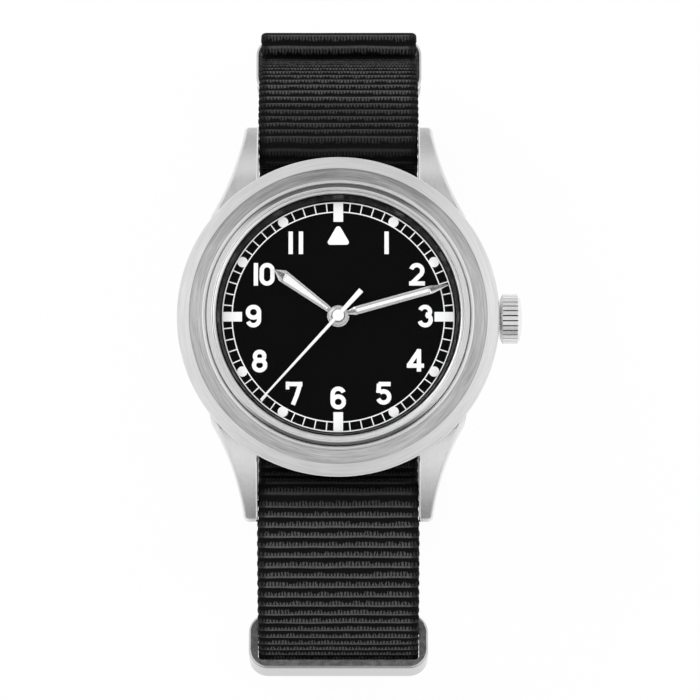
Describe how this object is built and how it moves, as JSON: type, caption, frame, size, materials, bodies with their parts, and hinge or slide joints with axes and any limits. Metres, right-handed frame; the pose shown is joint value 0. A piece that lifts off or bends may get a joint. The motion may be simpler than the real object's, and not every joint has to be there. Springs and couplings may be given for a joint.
{
  "type": "field watch",
  "caption": "Field wristwatch with a steel case, black dial with numerals, three hands and a closed ribbed webbing strap with keeper rings and buckle.",
  "frame": {"origin": "on the dial's axis, at the flat underside of the closed strap loop that the watch stands on", "axes": "+Z out of the dial, +Y towards twelve o'clock, +X towards the crown at three o'clock"},
  "size_m": [0.0385, 0.0761, 0.0531],
  "materials": {
    "brushed_steel": "brushed",
    "polished_steel": "polished",
    "crystal_glass": "clear, polished",
    "black_rubber": "matt",
    "black_ring": "matt black paint",
    "dial_black": "matt black paint with printed white numerals",
    "hand_steel": "satin, filled with pale luminous paint",
    "hand_white": "white paint",
    "movement_plastic": "moulded",
    "nickel_plate": "nickel plated, satin",
    "wheel_brass": "satin",
    "magnet": "dark",
    "soft_iron": "satin",
    "copper_winding": "enamelled wire",
    "circuit_green": "solder mask",
    "cell_steel": "satin",
    "webbing_black": "ribbed weave"
  },
  "bodies": {
    "head_and_strap": {"case_body": "brushed_steel", "case_tube": "polished_steel", "bezel": "brushed_steel", "crystal": "crystal_glass", "crystal_gasket": "black_rubber", "rehaut": "black_ring", "dial": "dial_black", "case_back": "brushed_steel", "case_back_gasket": "black_rubber", "movement_holder": "movement_plastic", "main_plate": "nickel_plate", "train_bridge": "nickel_plate", "circuit_board": "circuit_green", "coil": "copper_winding", "stator": "soft_iron", "battery": "cell_steel", "battery_clamp": "nickel_plate", "main_strap": "webbing_black", "under_strap": "webbing_black", "spring_bar_12": "polished_steel", "spring_bar_6": "polished_steel", "bar_spring_12": "polished_steel", "bar_spring_6": "polished_steel"},
    "seconds_train": {"fourth_wheel": "wheel_brass", "seconds_hand": "hand_white"},
    "minute_train": {"centre_wheel": "wheel_brass", "cannon_pinion": "wheel_brass", "minute_hand": "hand_steel"},
    "hour_train": {"hour_wheel": "wheel_brass", "hour_hand": "hand_steel"},
    "third_wheel": {"third_wheel": "wheel_brass"},
    "fifth_wheel": {"fifth_wheel": "wheel_brass"},
    "rotor": {"rotor": "magnet"},
    "minute_wheel": {"minute_wheel": "wheel_brass"},
    "clutch_wheel": {"clutch_wheel": "polished_steel"},
    "crown": {"crown": "brushed_steel", "stem": "polished_steel", "crown_gasket": "black_rubber"},
    "setting_lever": {"setting_lever": "polished_steel"},
    "bar_tip_12_right": {"bar_tip_12_right": "polished_steel"},
    "bar_tip_12_left": {"bar_tip_12_left": "polished_steel"},
    "bar_tip_6_right": {"bar_tip_6_right": "polished_steel"},
    "bar_tip_6_left": {"bar_tip_6_left": "polished_steel"},
    "keeper_ring_1": {"keeper_ring_1": "polished_steel"},
    "keeper_ring_2": {"keeper_ring_2": "polished_steel"},
    "keeper_ring_3": {"keeper_ring_3": "polished_steel"},
    "buckle_frame": {"buckle_frame": "polished_steel", "buckle_bar": "polished_steel"},
    "buckle_tang": {"buckle_tang": "polished_steel"}
  },
  "joints": [
    {"name": "seconds_turn", "type": "hinge", "parent": "head_and_strap", "child": "seconds_train", "pos_m": [0, 0, 0.05], "axis": [0, 0, -1], "continuous": true},
    {"name": "minute_turn", "type": "hinge", "parent": "head_and_strap", "child": "minute_train", "pos_m": [0, 0, 0.05], "axis": [0, 0, -1], "continuous": true},
    {"name": "hour_turn", "type": "hinge", "parent": "head_and_strap", "child": "hour_train", "pos_m": [0, 0, 0.05], "axis": [0, 0, -1], "continuous": true},
    {"name": "third_wheel_turn", "type": "hinge", "parent": "head_and_strap", "child": "third_wheel", "pos_m": [-0.00116, -0.00319, 0.05], "axis": [0, 0, -1], "continuous": true},
    {"name": "fifth_wheel_turn", "type": "hinge", "parent": "head_and_strap", "child": "fifth_wheel", "pos_m": [-0.00175, 0.00303, 0.05], "axis": [0, 0, -1], "continuous": true},
    {"name": "rotor_turn", "type": "hinge", "parent": "head_and_strap", "child": "rotor", "pos_m": [-0.00404, 0.00435, 0.05], "axis": [0, 0, -1], "continuous": true},
    {"name": "minute_wheel_turn", "type": "hinge", "parent": "head_and_strap", "child": "minute_wheel", "pos_m": [0.0026, -0.0015, 0.05], "axis": [0, 0, -1], "continuous": true},
    {"name": "crown_turn", "type": "hinge", "parent": "head_and_strap", "child": "clutch_wheel", "pos_m": [0.0057, 0, 0.0485], "axis": [1, 0, 0], "continuous": true},
    {"name": "crown_pull", "type": "slide", "parent": "clutch_wheel", "child": "crown", "axis": [1, 0, 0], "range_m": [0, 0.0008]},
    {"name": "setting_lever_turn", "type": "hinge", "parent": "head_and_strap", "child": "setting_lever", "pos_m": [0.0094, -0.00237, 0.04798], "axis": [0, 0, -1], "range_deg": [-0.5, 19.6]},
    {"name": "bar_tip_12_right_slide", "type": "slide", "parent": "head_and_strap", "child": "bar_tip_12_right", "axis": [-1, 0, 0], "range_m": [0, 0.0009], "stiffness_N_per_m": 400, "springref_m": -0.0005, "deforming": ["bar_spring_12"]},
    {"name": "bar_tip_12_left_slide", "type": "slide", "parent": "head_and_strap", "child": "bar_tip_12_left", "axis": [1, 0, 0], "range_m": [0, 0.0009], "stiffness_N_per_m": 400, "springref_m": -0.0005, "deforming": ["bar_spring_12"]},
    {"name": "bar_tip_6_right_slide", "type": "slide", "parent": "head_and_strap", "child": "bar_tip_6_right", "axis": [-1, 0, 0], "range_m": [0, 0.0009], "stiffness_N_per_m": 400, "springref_m": -0.0005, "deforming": ["bar_spring_6"]},
    {"name": "bar_tip_6_left_slide", "type": "slide", "parent": "head_and_strap", "child": "bar_tip_6_left", "axis": [1, 0, 0], "range_m": [0, 0.0009], "stiffness_N_per_m": 400, "springref_m": -0.0005, "deforming": ["bar_spring_6"]},
    {"name": "keeper_ring_1_slide", "type": "slide", "parent": "head_and_strap", "child": "keeper_ring_1", "axis": [0, 0, 1], "range_m": [-0.001, 0.0015]},
    {"name": "keeper_ring_2_slide", "type": "slide", "parent": "head_and_strap", "child": "keeper_ring_2", "axis": [0, 0, 1], "range_m": [-0.0015, 0.0006]},
    {"name": "keeper_ring_3_swing", "type": "hinge", "parent": "head_and_strap", "child": "keeper_ring_3", "pos_m": [0, -0.03255, 0.03197], "axis": [1, 0, 0], "range_deg": [-3, 3]},
    {"name": "buckle_swing", "type": "hinge", "parent": "head_and_strap", "child": "buckle_frame", "pos_m": [0, -0.0025, 0.0035], "axis": [-1, 0, 0], "range_deg": [0, 2]},
    {"name": "tang_swing", "type": "hinge", "parent": "buckle_frame", "child": "buckle_tang", "pos_m": [0, -0.0025, 0.0035], "axis": [1, 0, 0], "range_deg": [0, 1]}
  ],
  "couplings": [
    {"joint": "third_wheel_turn", "follows": "seconds_turn", "ratio": -0.13333},
    {"joint": "minute_turn", "follows": "seconds_turn", "ratio": 0.016667},
    {"joint": "minute_wheel_turn", "follows": "seconds_turn", "ratio": -0.0055556},
    {"joint": "hour_turn", "follows": "seconds_turn", "ratio": 0.0013889},
    {"joint": "fifth_wheel_turn", "follows": "seconds_turn", "ratio": -6},
    {"joint": "rotor_turn", "follows": "seconds_turn", "ratio": 30},
    {"joint": "setting_lever_turn", "follows": "crown_pull", "rad_per_m": 416.67}
  ]
}
